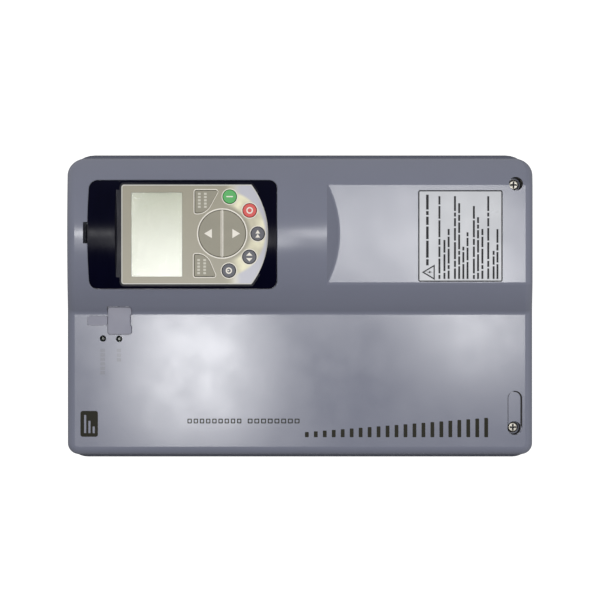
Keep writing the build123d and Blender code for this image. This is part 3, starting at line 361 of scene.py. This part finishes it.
MATERIALS = {
    "cover": cover_paint("cover", COVER_COLOUR),
    "cap": moulded("cap", (0.215, 0.217, 0.275), 0.45, 0.5, 0.015, 0.04).material,
    "cover_side": cover_side("cover_side", COVER_COLOUR),
    "embossed": raised_print("embossed", (0.145, 0.150, 0.190)),
    "keypad": black_gloss("keypad", (0.0008, 0.0009, 0.0075), 0.20),
    "keypad_back": moulded("keypad_back", (0.03, 0.03, 0.036), 0.5, 0.5, 0.02).material,
    "film": overlay_film("film"),
    "display_glass": clear("display_glass", (0.96, 0.97, 0.94), 0.22),
    "display_cell": display_cell("display_cell"),
    "key_grey": key_surface("key_grey", (0.225, 0.208, 0.148)),
    "key_green": key_surface("key_green", (0.030, 0.36, 0.055)),
    "key_red": key_surface("key_red", (0.60, 0.030, 0.022)),
    "key_dark": key_surface("key_dark", (0.040, 0.042, 0.062)),
    "cream_print": key_surface("cream_print", (0.76, 0.72, 0.64), 0.45),
    "soft_print": key_surface("soft_print", (0.52, 0.50, 0.42), 0.45),
    "silver_print": key_surface("silver_print", (0.52, 0.51, 0.47), 0.40),
    "dark_print": key_surface("dark_print", (0.014, 0.013, 0.006), 0.50, 0.15),
    "label_print": key_surface("label_print", (0.022, 0.022, 0.025), 0.50, 0.15),
    "label": moulded("label", (0.42, 0.43, 0.46), 0.30, 1.2, 0.006, 0.05).material,
    "housing": moulded("housing", (0.055, 0.057, 0.066), 0.52, 0.6, 0.03, 0.08).material,
    "rack": moulded("rack", (0.055, 0.055, 0.060), 0.5, 0.6, 0.02, 0.08).material,
    "rubber": moulded("rubber", (0.022, 0.022, 0.022), 0.75, 0.8, 0.03, 0.15).material,
    "galvanised": galvanised("galvanised"),
    "aluminium": metal("aluminium", (0.66, 0.67, 0.69), 0.36, (6, 6, 0.4), 260).material,
    "zinc": metal("zinc", (0.62, 0.58, 0.50), 0.34, (1, 1, 1), 700, 0.006).material,
    "screw_steel": metal("screw_steel", (0.46, 0.44, 0.39), 0.44, (1, 1, 1), 700, 0.006).material,
    "deep_shadow": moulded("deep_shadow", (0.012, 0.012, 0.014), 0.6, 0.6, 0.02, 0.1).material,
    "brass": metal("brass", (0.70, 0.50, 0.20), 0.28, (1, 1, 1), 400, 0.006).material,
    "nickel": metal("nickel", (0.70, 0.70, 0.69), 0.25, (1, 3, 1), 300, 0.006).material,
    "fan": moulded("fan", (0.022, 0.022, 0.024), 0.42, 0.7, 0.02, 0.1).material,
    "board_green": circuit_board("board_green", (0.010, 0.105, 0.045), (0.030, 0.20, 0.080)),
    "board_blue": circuit_board("board_blue", (0.010, 0.045, 0.130), (0.025, 0.10, 0.24)),
    "module": moulded("module", (0.055, 0.055, 0.055), 0.5, 0.7, 0.03, 0.1).material,
    "sleeve": moulded("sleeve", (0.018, 0.024, 0.060), 0.22, 1.5, 0.02, 0.1).material,
    "core": ribbed("core", (0.15, 0.14, 0.13), 0.5, "Y", 1.0, 0.05),
    "ferrite": moulded("ferrite", (0.045, 0.045, 0.048), 0.6, 0.4, 0.03, 0.15).material,
    "winding": ribbed("winding", (0.62, 0.24, 0.08), 0.3, "Z", 1.4, 0.15, 0.7),
    "relay": moulded("relay", (0.020, 0.065, 0.22), 0.3, 0.9, 0.01, 0.06).material,
    "terminal": moulded("terminal", (0.17, 0.18, 0.18), 0.5, 0.6, 0.02, 0.06).material,
    "terminal_green": moulded("terminal_green", (0.035, 0.26, 0.09), 0.42, 0.6, 0.02, 0.06).material,
    "chip": moulded("chip", (0.018, 0.018, 0.020), 0.48, 0.3, 0.02, 0.1).material,
    "lamp": clear("lamp", (0.80, 0.84, 0.80), 0.18),
    "bare_lamp": clear("bare_lamp", (0.75, 0.85, 0.72), 0.25, 0.8),
}

NODE_MATERIALS = {
    "cover": ["front_cover"],
    "cap": ["usb_cap", "usb_cap_strap"],
    "keypad": ["keypad_front_shell", "keypad_latch"],
    "keypad_back": ["keypad_back_shell"],
    "film": ["keypad_overlay"],
    "display_glass": ["display_window"],
    "display_cell": ["display_module"],
    "key_grey": ["key_up", "key_down", "key_soft_left", "key_soft_right"],
    "key_green": ["key_start"],
    "key_red": ["key_stop"],
    "key_dark": ["key_jog", "key_direction", "key_local_remote"],
    "housing": ["main_housing"],
    "rack": ["control_rack"],
    "rubber": ["cable_grommets"],
    "galvanised": ["duct_shell", "cable_plate", "mounting_brackets", "fan_tray"],
    "aluminium": ["heatsink"],
    "zinc": ["bracket_screws", "fan_screws", "board_screws", "terminal_screws", "earth_screws"],
    "screw_steel": ["cover_screw_left", "cover_screw_right"],
    "brass": ["standoffs", "earth_bar"],
    "nickel": ["usb_socket"],
    "fan": ["fan_frames", "fan_rotor_left", "fan_rotor_right"],
    "board_green": ["power_board", "control_board"],
    "board_blue": ["keypad_board"],
    "module": ["power_module", "current_sensors"],
    "sleeve": ["dc_link_capacitors"],
    "core": ["dc_choke_core"],
    "ferrite": ["transformer_core"],
    "winding": ["dc_choke_coil", "transformer_winding"],
    "relay": ["relay_block", "memory_module"],
    "terminal": ["power_terminal_block"],
    "terminal_green": ["control_terminals"],
    "chip": ["control_chips", "accessory_connectors", "board_link_header", "keypad_socket", "keypad_plug"],
    "lamp": ["light_pipes"],
    "bare_lamp": ["status_leds"],
}


def dress_cad_nodes():
    """Gives every CAD node its material and smooths its curved faces."""
    for material, names in NODE_MATERIALS.items():
        for name in names:
            mesh = nodes[name].data
            mesh.materials.clear()
            mesh.materials.append(MATERIALS[material])
            mesh.shade_smooth()
            mesh.set_sharp_from_angle(angle=math.radians(28))


def extra_material(node, material):
    """Adds one more material to a CAD node, and gives back the mesh and the material's number."""
    mesh = nodes[node].data
    mesh.materials.append(MATERIALS[material])
    return mesh, len(mesh.materials) - 1


def screw_axis(name):
    """Where a cover screw stands, as (x, z)."""
    x, _, z = millimetres(name)
    return Vector((middle(x), middle(z)))


def dull_cover_sides():
    """The cover's outer side faces get their own matt material."""
    mesh, matt = extra_material("front_cover", "cover_side")
    cover_x, _, cover_z = millimetres("front_cover")
    for face in mesh.polygons:
        x, _, z = face.center / MM
        to_edge = min(x - cover_x[0], cover_x[1] - x, z - cover_z[0], cover_z[1] - z)
        if to_edge < SIDE_REACH and abs(face.normal.y) < 0.2:
            face.material_index = matt


def paint_shade_in_cover():
    """Painted shade: a dark colour along one side of the groove by the left screw and in both screw holes,
    where shade falls.
    """
    mesh, painted_shade = extra_material("front_cover", "deep_shadow")
    screws = [screw_axis(name) for name in COVER_SCREWS]
    for face in mesh.polygons:
        x, y, z = face.center / MM
        from_screw = min((Vector((x, z)) - screw).length for screw in screws)
        in_hole = from_screw < HOLE_REACH and abs(face.normal.y) < 0.7
        beside_screw = GROOVE_X[0] < x < GROOVE_X[1] and GROOVE_Z[0] < z < GROOVE_Z[1]
        in_groove = beside_screw and GROOVE_Y[0] < y < GROOVE_Y[1]
        if in_hole or in_groove:
            face.material_index = painted_shade


def paint_shade_in_screw_recesses():
    """Painted shade: the driver recess in each cover screw is painted nearly black, where shade falls."""
    for name in COVER_SCREWS:
        mesh, dark = extra_material(name, "deep_shadow")
        head_x, head_y, _ = millimetres(name)
        recess_radius = 0.75 * (head_x[1] - head_x[0]) / 2
        axis = screw_axis(name)
        for face in mesh.polygons:
            x, y, z = face.center / MM
            below_head = 0.1 < y - head_y[0] < RECESS_REACH
            inside = (Vector((x, z)) - axis).length < recess_radius
            if below_head and inside and face.normal.y < 0.5:
                face.material_index = dark


# ---- Flat shapes, as closed loops of (x, z) points in millimetres ----
def circle(x, z, radius, steps=64):
    angles = [2 * math.pi * step / steps for step in range(steps)]
    return [(x + radius * math.cos(a), z + radius * math.sin(a)) for a in angles]


def arc(x, z, radius, start, end, steps=32):
    """Points along an arc, with its ends given in degrees."""
    angles = [math.radians(start + (end - start) * step / steps) for step in range(steps + 1)]
    return [(x + radius * math.cos(a), z + radius * math.sin(a)) for a in angles]


def ring(x, z, outer, inner):
    return [circle(x, z, outer), circle(x, z, inner)]


def bar(x, z, corner=0.0):
    """A rectangle between two x and two z values, with round corners if asked."""
    if not corner:
        return [(x[0], z[0]), (x[1], z[0]), (x[1], z[1]), (x[0], z[1])]
    points = []
    left, right = x[0] + corner, x[1] - corner
    low, high = z[0] + corner, z[1] - corner
    turns = ((right, low, -90), (right, high, 0), (left, high, 90), (left, low, 180))
    for corner_x, corner_z, start in turns:
        points += arc(corner_x, corner_z, corner, start, start + 90, 6)
    return points


def frame_loops(x, z, corner, width):
    """A rectangular outline of a given line width."""
    inner = bar((x[0] + width, x[1] - width), (z[0] + width, z[1] - width), max(corner - width, 0.1))
    return [bar(x, z, corner), inner]


def flat_piece(name, loops, rear_y, front_y, material, body):
    """A thin solid between two depths; a loop inside another is a hole."""
    curve = bpy.data.curves.new(name, "CURVE")
    curve.dimensions = "2D"
    curve.fill_mode = "BOTH"
    curve.extrude = abs(rear_y - front_y) / 2 * MM
    for loop in loops:
        spline = curve.splines.new("POLY")
        spline.points.add(len(loop) - 1)
        for point, (x, z) in zip(spline.points, loop):
            point.co = (x * MM, z * MM, 0, 1)
        spline.use_cyclic_u = True
    holder = bpy.data.objects.new(name + "_curve", curve)
    bpy.context.scene.collection.objects.link(holder)
    bpy.context.view_layer.update()
    mesh = bpy.data.meshes.new_from_object(holder)
    bpy.data.objects.remove(holder)
    middle_y = (rear_y + front_y) / 2 * MM
    stand_up = Matrix(((1, 0, 0, 0), (0, 0, -1, middle_y), (0, 1, 0, 0), (0, 0, 0, 1)))
    mesh.transform(stand_up)
    mesh.materials.clear()
    mesh.materials.append(MATERIALS[material])
    piece = bpy.data.objects.new(name, mesh)
    bpy.context.scene.collection.objects.link(piece)
    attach(piece, body)
    return piece


SINK = 0.02                        # how far a thin piece reaches into the surface under it
PRINT = 0.06                       # thickness of the printing
LABEL_THICKNESS = 0.08


def printed(name, loops, surface_y, material, body):
    """Ink on a surface that faces the front."""
    return flat_piece(name, loops, surface_y + SINK, surface_y - PRINT, material, body)


def outset(corners, distance):
    """A convex outline, listed anticlockwise, with each of its sides moved outwards."""
    moved = []
    for before, corner, after in zip([corners[-1]] + corners[:-1], corners, corners[1:] + corners[:1]):
        into = (Vector(corner) - Vector(before)).normalized()
        away = (Vector(after) - Vector(corner)).normalized()
        normals = Vector((into.y, -into.x)) + Vector((away.y, -away.x))
        shift = normals * (2 * distance / normals.length_squared)
        moved.append((corner[0] + shift.x, corner[1] + shift.y))
    return moved


def rounded(corners, radii):
    """An anticlockwise outline with round corners."""
    points = []
    for index, (corner, radius) in enumerate(zip(corners, radii)):
        here = Vector(corner)
        back = (Vector(corners[index - 1]) - here).normalized()
        ahead = (Vector(corners[(index + 1) % len(corners)]) - here).normalized()
        half_angle = back.angle(ahead) / 2
        centre = here + (back + ahead).normalized() * (radius / math.sin(half_angle))
        reach = radius / math.tan(half_angle)
        start = here + back * reach - centre
        turn = start.angle_signed(here + ahead * reach - centre)
        for step in range(9):
            spoke = start.copy()
            spoke.rotate(Matrix.Rotation(-turn * step / 8, 2))
            points.append(tuple(centre + spoke))
    return points


def dashes(x, z, count, gap, up=False):
    """A row of equal bars along x, or along z if up."""
    loops = []
    span = z if up else x
    pitch = (span[1] - span[0] + gap) / count
    for index in range(count):
        start = span[0] + index * pitch
        part = (start, start + pitch - gap)
        loops.append(bar(x, part) if up else bar(part, z))
    return loops


# ---- Keypad printing ----
ROUND_KEYS = ("key_start", "key_stop", "key_jog", "key_direction", "key_local_remote")
SOFT_KEYS = {"key_soft_left": 5.6, "key_soft_right": 7.3}    # rise of each key's slanted edge


def key_centre(node):
    x, _, z = millimetres(node)
    return middle(x), middle(z), (x[1] - x[0]) / 2


def film_outline(inset):
    """The film's edge: straight sides and top, and one arc below."""
    centre_x = middle(OVERLAY_X)
    half = (OVERLAY_X[1] - OVERLAY_X[0]) / 2
    rise = FILM_SIDE_END_Z - OVERLAY_Z[0]
    radius = (half ** 2 + rise ** 2) / (2 * rise)
    angle = math.degrees(math.asin((half - inset) / (radius - inset)))
    bottom = arc(centre_x, OVERLAY_Z[0] + radius, radius - inset, -90 - angle, -90 + angle)
    corner = FILM_CORNER - inset
    corner_x = half - FILM_CORNER
    corner_z = OVERLAY_Z[1] - FILM_CORNER
    right = arc(centre_x + corner_x, corner_z, corner, 0, 90, 8)
    left = arc(centre_x - corner_x, corner_z, corner, 90, 180, 8)
    return bottom + right + left


def keypad_outlines():
    loops = ring(ARROW_X, ARROW_Z, ARROW_RADIUS + 1.05, ARROW_RADIUS + 0.3)
    for node in ROUND_KEYS:
        x, z, radius = key_centre(node)
        loops += ring(x, z, radius + 0.80, radius + 0.34)
    printed("keypad_outlines", loops, FILM_Y, "cream_print", "keypad")
    printed("film_border", [film_outline(0.05), film_outline(0.6)], FILM_Y, "silver_print", "keypad")


def soft_key_prints():
    """An outline round each soft key and two rows of short marks on it."""
    for node, rise in SOFT_KEYS.items():
        x, _, z = millimetres(node)
        outer_side = 1 if middle(x) > ARROW_X else -1
        outer_x, inner_x = (x[1], x[0]) if outer_side > 0 else (x[0], x[1])
        corners = [(outer_x, z[0]), (outer_x, z[1]), (inner_x, z[1]), (inner_x, z[0] + rise)]
        radii = [0.8, 0.8, 0.8, 8.0]
        if outer_side < 0:
            corners = corners[::-1]
            radii = radii[::-1]
        loops = [rounded(outset(corners, gap), [r + gap for r in radii]) for gap in (0.35, 0.85)]
        printed(node + "_outline", loops, FILM_Y, "cream_print", "keypad")
        marks = []
        for mark_z in (z[1] - 2.6, z[1] - 6.2):
            ends = sorted((outer_x - outer_side * 1.4, outer_x - outer_side * 10.4))
            marks += dashes(ends, (mark_z - 0.8, mark_z + 0.8), 5, 0.7)
        printed(node + "_marks", marks, KEY_FACE_Y, "soft_print", node)


def arrow_prints():
    """The bar between the two arrow keys, a line along each key's edge, and the arrows."""
    bar_z = (DOWN_Z[1] + 0.05, UP_Z[0] - 0.05)
    ends = (ARROW_X - ARROW_RADIUS, ARROW_X + ARROW_RADIUS)
    flat_piece("arrow_divider", [bar(ends, bar_z)], KEY_FACE_Y + 3, KEY_FACE_Y, "cream_print", "keypad")
    for side, node, edge_z in ((1, "key_up", UP_Z[0]), (-1, "key_down", DOWN_Z[1])):
        edge = bar((ends[0] + 0.4, ends[1] - 0.4), sorted((edge_z + side * 0.26, edge_z + side * 0.5)))
        tip_z = ARROW_Z + side * 10.7
        base_z = ARROW_Z + side * 6.1
        triangle = [(ARROW_X - 2.75, base_z), (ARROW_X + 2.75, base_z), (ARROW_X, tip_z)]
        printed(node + "_print", [edge, triangle], KEY_FACE_Y, "cream_print", node)


def key_glyphs():
    """Plain marks on the round keys."""
    glyphs = {}
    x, z, _ = key_centre("key_start")
    glyphs["key_start"] = [bar((x - 0.35, x + 0.35), (z - 2.0, z + 2.0), 0.2)]
    x, z, _ = key_centre("key_stop")
    glyphs["key_stop"] = ring(x, z, 2.0, 1.25)
    x, z, _ = key_centre("key_jog")
    glyphs["key_jog"] = [
        [(x + shift - 1.1, z - 1.4), (x + shift + 1.1, z), (x + shift - 1.1, z + 1.4)]
        for shift in (-1.2, 1.2)
    ]
    x, z, _ = key_centre("key_direction")
    glyphs["key_direction"] = [
        [(x + side * 2.7, z), (x + side * 0.7, z - 1.9), (x + side * 0.7, z + 1.9)] for side in (-1, 1)
    ]
    x, z, _ = key_centre("key_local_remote")
    glyphs["key_local_remote"] = ring(x, z, 1.9, 1.15) + [bar((x - 0.3, x + 0.3), (z - 0.2, z + 0.9))]
    for node, loops in glyphs.items():
        printed(node + "_glyph", loops, KEY_FACE_Y, "cream_print", node)


# ---- Cover printing and label ----
def cover_print(name, loops, material="dark_print", surface_y=FLAT_Y):
    return printed(name, loops, surface_y, material, "front_cover")


def bar_mark():
    """A dark plate with three clear bars of growing length."""
    x = (-79.3, -63.6)
    z = (122.8, 133.4)
    foot_x = x[0] + 2.2
    clear_bars = []
    for index, length in enumerate((4.0, 7.5, 11.0)):
        low = z[0] + 1.9 + index * 2.6
        clear_bars.append(bar((foot_x, foot_x + length), (low, low + 1.3)))
    cover_print("bar_mark", [bar(x, z, 1.4)] + clear_bars)


def speed_ramp():
    """A row of bars that grow longer, where the drive's name would be."""
    first_z = -3.0
    pitch = 5.45
    count = 21
    foot_x = -79.6
    loops = []
    for index in range(count):
        z = first_z - index * pitch
        length = 3.2 + 8.6 * index / (count - 1)
        loops.append(bar((foot_x, foot_x + length), (z - 2.3, z), 0.4))
    cover_print("speed_ramp", loops)


def small_captions():
    """Plain dashes where the cover's small captions would be."""
    row = (-71.2, -68.3)
    loops = dashes(row, (35.6, 68.4), 9, 1.1, up=True) + dashes(row, (0.3, 31.8), 8, 1.1, up=True)
    hollow = []
    for loop in loops:
        xs = [point[0] for point in loop]
        zs = [point[1] for point in loop]
        hollow += frame_loops((min(xs), max(xs)), (min(zs), max(zs)), 0.4, 0.62)
    cover_print("small_captions", hollow)


def lamp_captions():
    """A row of raised dashes beside each lamp."""
    right_x = -25.8
    pitch = 2.6
    for name, count, z in (("lamp_caption_1", 6, (118.5, 121.3)), ("lamp_caption_2", 3, (108.8, 111.3))):
        raised = dashes((right_x - count * pitch, right_x), z, count, 0.7)
        flat_piece(name, raised, FLAT_Y + SINK, FLAT_Y - 0.22, "embossed", "front_cover")


LABEL_X = (14.7, 69.5)
LABEL_Z = (-121.2, -70.7)
LABEL_ROWS = {                     # height of each row of bars, and where it ends
    -83.4: 67.4, -86.4: 40.8, -88.9: 46.6, -92.7: 67.0, -95.2: 61.7, -97.7: 35.7, -100.2: 45.0,
    -104.0: 61.9, -106.5: 53.3, -109.1: 47.6, -112.6: 66.5, -115.8: 33.6, -118.1: 46.2,
}


def word_bars(x, z, height, seed):
    """A row of plain bars of uneven length."""
    loops = []
    start = x[0]
    index = seed
    while start < x[1] - 1.0:
        length = 2.4 + 1.3 * ((index * 5) % 7)
        end = min(start + length, x[1])
        loops.append(bar((start, end), (z - height / 2, z + height / 2)))
        start = end + 0.9
        index += 1
    return loops


def label():
    """A pale label with a dark border, a triangle round a small spark, and rows of plain bars."""
    face_y = POCKET_Y - LABEL_THICKNESS
    flat_piece("label_plate", [bar(LABEL_X, LABEL_Z, 1.2)], POCKET_Y + SINK, face_y,
               "label", "front_cover")
    border = frame_loops(LABEL_X, LABEL_Z, 1.2, 0.75)
    cover_print("label_border", border, "label_print", face_y)
    heart = (20.4, -78.0)
    triangle = [(15.8, -80.6), (25.0, -80.6), (20.4, -72.9)]
    inner = [tuple(h + (c - h) * 0.72 for c, h in zip(corner, heart)) for corner in triangle]
    spark = [(20.8, -75.4), (19.7, -78.0), (20.5, -78.0), (20.0, -79.6), (21.3, -77.3), (20.5, -77.3)]
    cover_print("label_triangle", [triangle, inner, spark], "label_print", face_y)
    rows = word_bars((24.5, 67.6), -76.2, 1.5, 3)
    for index, (z, end_x) in enumerate(LABEL_ROWS.items()):
        rows += word_bars((16.4, end_x), z, 1.15, index * 3)
    cover_print("label_rows", rows, "label_print", face_y)


# ---- Small parts on the control board and in the service port ----
BOARD_FACE_Y = BOARD_Y[0]
CHIPS = (
    ((-40, -16), (20, 44)), ((-62, -50), (24, 42)), ((-36, -22), (-6, 4)), ((0, 12), (-20, -8)),
    ((-66, -52), (70, 84)),
)
PART_GRIDS = ((-8, 24, 6, 5), (4, 88, 9, 2), (-32, -20, 5, 1), (20, 2, 8, 3))    # x, z, columns, rows
CAN_X = (20, 28, 36)
CAN_Z = 112


def on_board(name, loops, height, material):
    """Parts of one height that stand on the control board."""
    return flat_piece(name, loops, BOARD_FACE_Y + SINK, BOARD_FACE_Y - height, material, "root")


def chip_legs():
    """Short legs along the two sides of each chip."""
    reach = 0.9
    pitch = 1.3
    loops = []
    for x, z in CHIPS:
        ends = (z[0] + 0.8, z[1] - 0.8)
        count = int((ends[1] - ends[0]) / pitch)
        for side_x in (x[0] - reach, x[1]):
            loops += dashes((side_x, side_x + reach), ends, count, 0.8, up=True)
    on_board("chip_legs", loops, 0.5, "nickel")


def small_parts():
    """Rows of small resistors and capacitors, and a few round cans."""
    pale = []
    dark = []
    for x, z, columns, rows in PART_GRIDS:
        for column in range(columns):
            for row in range(rows):
                left = x + column * 4.2
                low = z + row * 4.6
                chosen = dark if (column + row) % 3 else pale
                chosen.append(bar((left, left + 2.0), (low, low + 1.25)))
    on_board("board_resistors", dark, 0.6, "chip")
    on_board("board_capacitors", pale, 0.9, "label")
    cans = [circle(x, CAN_Z, 3.0, 32) for x in CAN_X]
    on_board("board_cans", cans, 4.5, "sleeve")


def usb_tongue():
    """The tongue inside the service port, with its contacts."""
    x = middle(SOCKET_X)
    z = middle(SOCKET_Z)
    rear_y = SOCKET_Y[0] + 9.2
    mouth_y = SOCKET_Y[0]
    tongue = bar((x - 3.0, x + 3.0), (z - 1.5, z + 1.5))
    flat_piece("usb_tongue", [tongue], rear_y, mouth_y + 0.8, "chip", "root")
    contacts = dashes((x - 2.5, x + 2.5), (z - 1.75, z - 1.45), 4, 0.5)
    flat_piece("usb_contacts", contacts, rear_y, mouth_y + 1.6, "brass", "root")


# ---- The housing's lip ----
def housing_lip():
    """A thin rim of the housing, which shows as a dark line beside the cover."""
    cover_x, cover_y, cover_z = millimetres("front_cover")
    loops = []
    for grow in (LIP_REACH, -LIP_WIDTH):
        x = (cover_x[0] - grow, cover_x[1] + grow)
        z = (cover_z[0] - grow, cover_z[1] + grow)
        corners = [(x[0], z[0]), (x[1], z[0]), (x[1], z[1]), (x[0], z[1])]
        radii = [radius + grow for radius in COVER_CORNERS]
        loops.append(rounded(corners, radii))
    flat_piece("housing_lip", loops, cover_y[1] + 1.4, cover_y[1] + 0.1,
               "housing", "root")


def build():
    dress_cad_nodes()
    dull_cover_sides()
    # painted shade in the groove and the screw holes
    paint_shade_in_cover()
    # painted shade in the driver recesses of the cover screws
    paint_shade_in_screw_recesses()
    keypad_outlines()
    soft_key_prints()
    arrow_prints()
    key_glyphs()
    bar_mark()
    speed_ramp()
    small_captions()
    lamp_captions()
    label()
    chip_legs()
    small_parts()
    usb_tongue()
    housing_lip()


# ---- Light, floor and camera ----
CAMERA_X = 0.0038
CAMERA_Y = -1.077
LENS_MM = 86
SENSOR_MM = 36
FRONT_LIGHT = 0.36
SIDE_LIGHT = 0.56
BACK_LIGHT = 1.15
SIDE_BALANCE = (0.45, 1.30)        # from the flat part's side to the arch's side
RING_SHADE = 0.55                  # how dark the room gets round the white backdrop
BACKDROP_EDGE = (0.936, 0.955)     # how nearly straight behind the object the white begins


def soft_box(name, x, z, strength):
    """A soft light beside the camera, between two x and two z values in metres, facing the object."""
    light = bpy.data.lights.new(name, "AREA")
    light.shape = "RECTANGLE"
    light.size = x[1] - x[0]
    light.size_y = z[1] - z[0]
    light.energy = strength * math.pi * light.size * light.size_y
    lamp = bpy.data.objects.new(name, light)
    lamp.location = (middle(x), CAMERA_Y - 0.02, middle(z))
    lamp.rotation_euler = (math.radians(90), 0, 0)
    lamp.visible_camera = False
    bpy.context.scene.collection.objects.link(lamp)
    return lamp


def ramp(tree, value, low, high, start, end):
    """A smooth change from one number to another as a value rises."""
    node = tree.nodes.new("ShaderNodeMapRange")
    node.interpolation_type = "SMOOTHSTEP"
    limits = {"From Min": low, "From Max": high, "To Min": start, "To Max": end}
    for socket, number in limits.items():
        node.inputs[socket].default_value = number
    tree.links.new(value, node.inputs["Value"])
    return node.outputs["Result"]


def combine(tree, operation, first, second):
    node = tree.nodes.new("ShaderNodeMath")
    node.operation = operation
    tree.links.new(first, node.inputs[0])
    tree.links.new(second, node.inputs[1])
    return node.outputs["Value"]


def surroundings():
    """A soft grey room, lighter on the side of the arch, that turns white straight behind the object."""
    world = bpy.data.worlds.new("studio")
    bpy.context.scene.world = world
    world.use_nodes = True
    tree = world.node_tree
    background = tree.nodes["Background"]
    background.inputs["Color"].default_value = (1, 1, 1, 1)
    direction = tree.nodes.new("ShaderNodeTexCoord")
    split = tree.nodes.new("ShaderNodeSeparateXYZ")
    tree.links.new(direction.outputs["Generated"], split.inputs[0])
    room = ramp(tree, split.outputs["Y"], -0.7, 0.2, FRONT_LIGHT, SIDE_LIGHT)
    side = ramp(tree, split.outputs["X"], -1.0, 1.0, *SIDE_BALANCE)
    backdrop = ramp(tree, split.outputs["Y"], *BACKDROP_EDGE, 0.0, BACK_LIGHT)
    ring = ramp(tree, split.outputs["Y"], 0.35, 0.75, 1.0, RING_SHADE)
    room = combine(tree, "MULTIPLY", room, side)
    room = combine(tree, "MULTIPLY", room, ring)
    tree.links.new(combine(tree, "MAXIMUM", room, backdrop), background.inputs["Strength"])


def make_lights():
    surroundings()
    soft_box("panel_light", (-0.155, 0.02), (0.06, 0.195), 25)
    soft_box("pocket_light", (0.02, 0.16), (-0.28, 0.0), 12)
    soft_box("corner_light", (-0.08, 0.06), (-0.28, -0.16), 17)
    soft_box("keypad_light", (0.04, 0.13), (0.212, 0.262), 56)
    bpy.context.scene.view_settings.view_transform = "Standard"


def make_floor():
    """A pale floor below the drive, just outside the camera's view."""
    half = 1.65
    z = -0.60
    corners = [(-half, -half, z), (half, -half, z), (half, half, z), (-half, half, z)]
    mesh = bpy.data.meshes.new("floor")
    mesh.from_pydata(corners, [], [(0, 1, 2, 3)])
    floor = bpy.data.objects.new("floor", mesh)
    colour = (0.82, 0.82, 0.82)
    surface = Surface("floor", colour, 0.7)
    surface.colour(surface.mix(surface.noise(3, 4), shade(colour, 0.97), shade(colour, 1.03)))
    mesh.materials.append(surface.material)
    bpy.context.scene.collection.objects.link(floor)


def make_camera():
    """Straight at the front, rolled so that the drive's top points to the left."""
    camera = bpy.data.cameras.new("camera")
    camera.lens = LENS_MM
    camera.sensor_width = SENSOR_MM
    camera.clip_start = 0.01
    camera.clip_end = 50
    holder = bpy.data.objects.new("camera", camera)
    right, up, back = Vector((0, 0, -1)), Vector((1, 0, 0)), Vector((0, -1, 0))
    turn = Matrix((right, up, back)).transposed().to_4x4()
    holder.matrix_world = Matrix.Translation((CAMERA_X, CAMERA_Y, 0)) @ turn
    bpy.context.scene.collection.objects.link(holder)
    bpy.context.scene.camera = holder


build()
make_camera()
make_lights()
make_floor()
